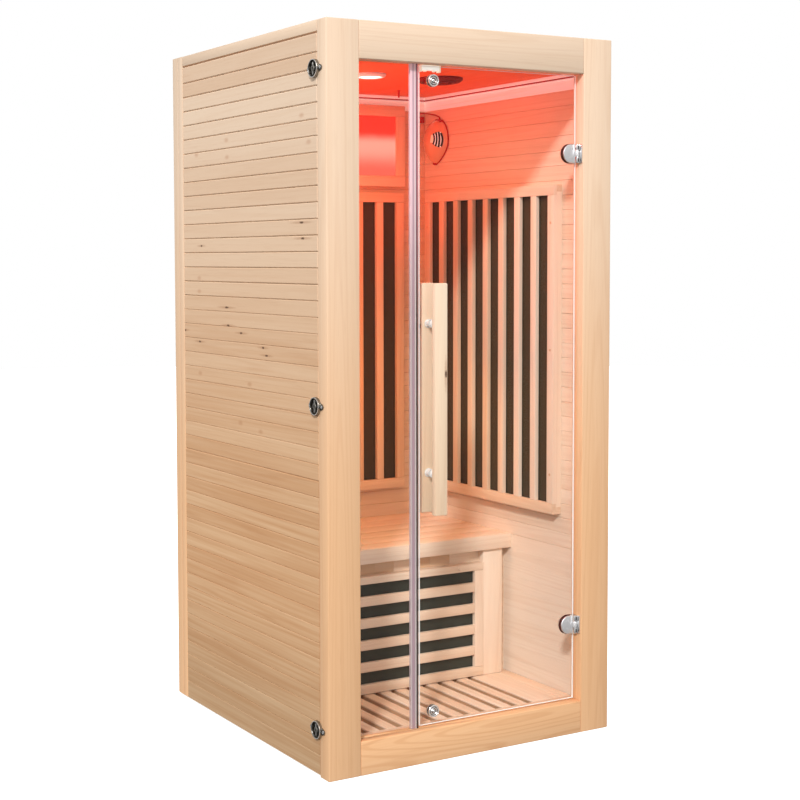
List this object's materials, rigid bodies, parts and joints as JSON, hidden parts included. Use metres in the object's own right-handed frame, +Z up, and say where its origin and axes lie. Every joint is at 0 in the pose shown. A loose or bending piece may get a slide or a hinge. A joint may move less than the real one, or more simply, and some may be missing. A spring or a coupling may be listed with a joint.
{
  "type": "infrared sauna cabin",
  "caption": "Free-standing timber infrared sauna cabin with a hinged glass door, fixed glass side light, bench, slatted heater guards, colour light panel and panel clasps.",
  "frame": {"origin": "middle of the base on the floor, under the middle of the wall panels", "axes": "+Z up, +X to the right seen from the front, the glass door faces -Y"},
  "size_m": [0.9166, 0.912, 1.9],
  "materials": {
    "boards_wood": "pale sanded softwood boards with grain and small knots",
    "frame_wood": "pale planed softwood with straight grain",
    "clear_glass": "clear toughened glass",
    "seal_plastic": "milky translucent strip",
    "chrome": "polished plating",
    "dark_nickel": "dark antique nickel with worn edges",
    "heater_carbon": "dark carbon heating film",
    "white_plastic": "moulded white plastic",
    "lamp_diffuser": "red lit diffuser",
    "vent_plastic": "moulded red brown plastic",
    "dark_plastic": "moulded black plastic",
    "unit_steel": "grey coated sheet housing"
  },
  "bodies": {
    "cabin": {"base_floor": "boards_wood", "floor_duckboard": "boards_wood", "left_wall_panel": "boards_wood", "left_wall_lining": "boards_wood", "right_wall_panel": "boards_wood", "right_wall_lining": "boards_wood", "back_wall_panel": "boards_wood", "back_wall_lining": "boards_wood", "roof_panel": "boards_wood", "ceiling_panel": "boards_wood", "bench_seat": "boards_wood", "bench_front_panel": "boards_wood", "back_heater_guard": "boards_wood", "right_heater_guard": "boards_wood", "left_heater_guard": "boards_wood", "leg_heater_guard": "boards_wood", "front_left_stile": "frame_wood", "front_right_stile": "frame_wood", "front_top_rail": "frame_wood", "front_bottom_rail": "frame_wood", "ceiling_trim": "frame_wood", "lamp_panel_frame": "frame_wood", "fixed_glass": "clear_glass", "fixed_glass_seal": "seal_plastic", "upper_hinge_bracket": "chrome", "lower_hinge_bracket": "chrome", "door_catch": "white_plastic", "ceiling_lamp": "white_plastic", "speaker": "white_plastic", "left_clasp_upper": "dark_nickel", "left_clasp_middle": "dark_nickel", "left_clasp_lower": "dark_nickel", "right_clasp_upper": "dark_nickel", "right_clasp_middle": "dark_nickel", "right_clasp_lower": "dark_nickel", "back_heater": "heater_carbon", "right_heater": "heater_carbon", "left_heater": "heater_carbon", "leg_heater": "heater_carbon", "lamp_panel_diffuser": "lamp_diffuser", "ceiling_vent": "vent_plastic", "speaker_cable": "dark_plastic", "control_panel": "dark_plastic", "power_unit": "unit_steel"},
    "door": {"door_glass": "clear_glass", "door_handle_outer": "frame_wood", "door_handle_inner": "frame_wood", "handle_bolt_upper": "chrome", "handle_bolt_lower": "chrome", "upper_hinge_clamp": "chrome", "lower_hinge_clamp": "chrome", "door_strike_top": "chrome", "door_strike_bottom": "chrome"},
    "left_clasp_turn_upper": {"left_clasp_turn_upper": "dark_nickel"},
    "left_clasp_turn_middle": {"left_clasp_turn_middle": "dark_nickel"},
    "left_clasp_turn_lower": {"left_clasp_turn_lower": "dark_nickel"},
    "right_clasp_turn_upper": {"right_clasp_turn_upper": "dark_nickel"},
    "right_clasp_turn_middle": {"right_clasp_turn_middle": "dark_nickel"},
    "right_clasp_turn_lower": {"right_clasp_turn_lower": "dark_nickel"},
    "power_button": {"power_button": "white_plastic"}
  },
  "joints": [
    {"name": "door_swing", "type": "hinge", "parent": "cabin", "child": "door", "pos_m": [0.3465, -0.434, 0.9], "axis": [0, 0, 1], "range_deg": [0, 100]},
    {"name": "left_clasp_upper_turn", "type": "hinge", "parent": "cabin", "child": "left_clasp_turn_upper", "pos_m": [-0.4531, -0.396, 1.781], "axis": [-1, 0, 0], "range_deg": [0, 90]},
    {"name": "left_clasp_middle_turn", "type": "hinge", "parent": "cabin", "child": "left_clasp_turn_middle", "pos_m": [-0.4531, -0.396, 0.943], "axis": [-1, 0, 0], "range_deg": [0, 90]},
    {"name": "left_clasp_lower_turn", "type": "hinge", "parent": "cabin", "child": "left_clasp_turn_lower", "pos_m": [-0.4531, -0.396, 0.121], "axis": [-1, 0, 0], "range_deg": [0, 90]},
    {"name": "right_clasp_upper_turn", "type": "hinge", "parent": "cabin", "child": "right_clasp_turn_upper", "pos_m": [0.4531, -0.396, 1.781], "axis": [1, 0, 0], "range_deg": [0, 90]},
    {"name": "right_clasp_middle_turn", "type": "hinge", "parent": "cabin", "child": "right_clasp_turn_middle", "pos_m": [0.4531, -0.396, 0.943], "axis": [1, 0, 0], "range_deg": [0, 90]},
    {"name": "right_clasp_lower_turn", "type": "hinge", "parent": "cabin", "child": "right_clasp_turn_lower", "pos_m": [0.4531, -0.396, 0.121], "axis": [1, 0, 0], "range_deg": [0, 90]},
    {"name": "power_button_press", "type": "slide", "parent": "cabin", "child": "power_button", "axis": [-1, 0, 0], "range_m": [0, 0.0025], "stiffness_N_per_m": 600, "springref_m": -0.001}
  ]
}
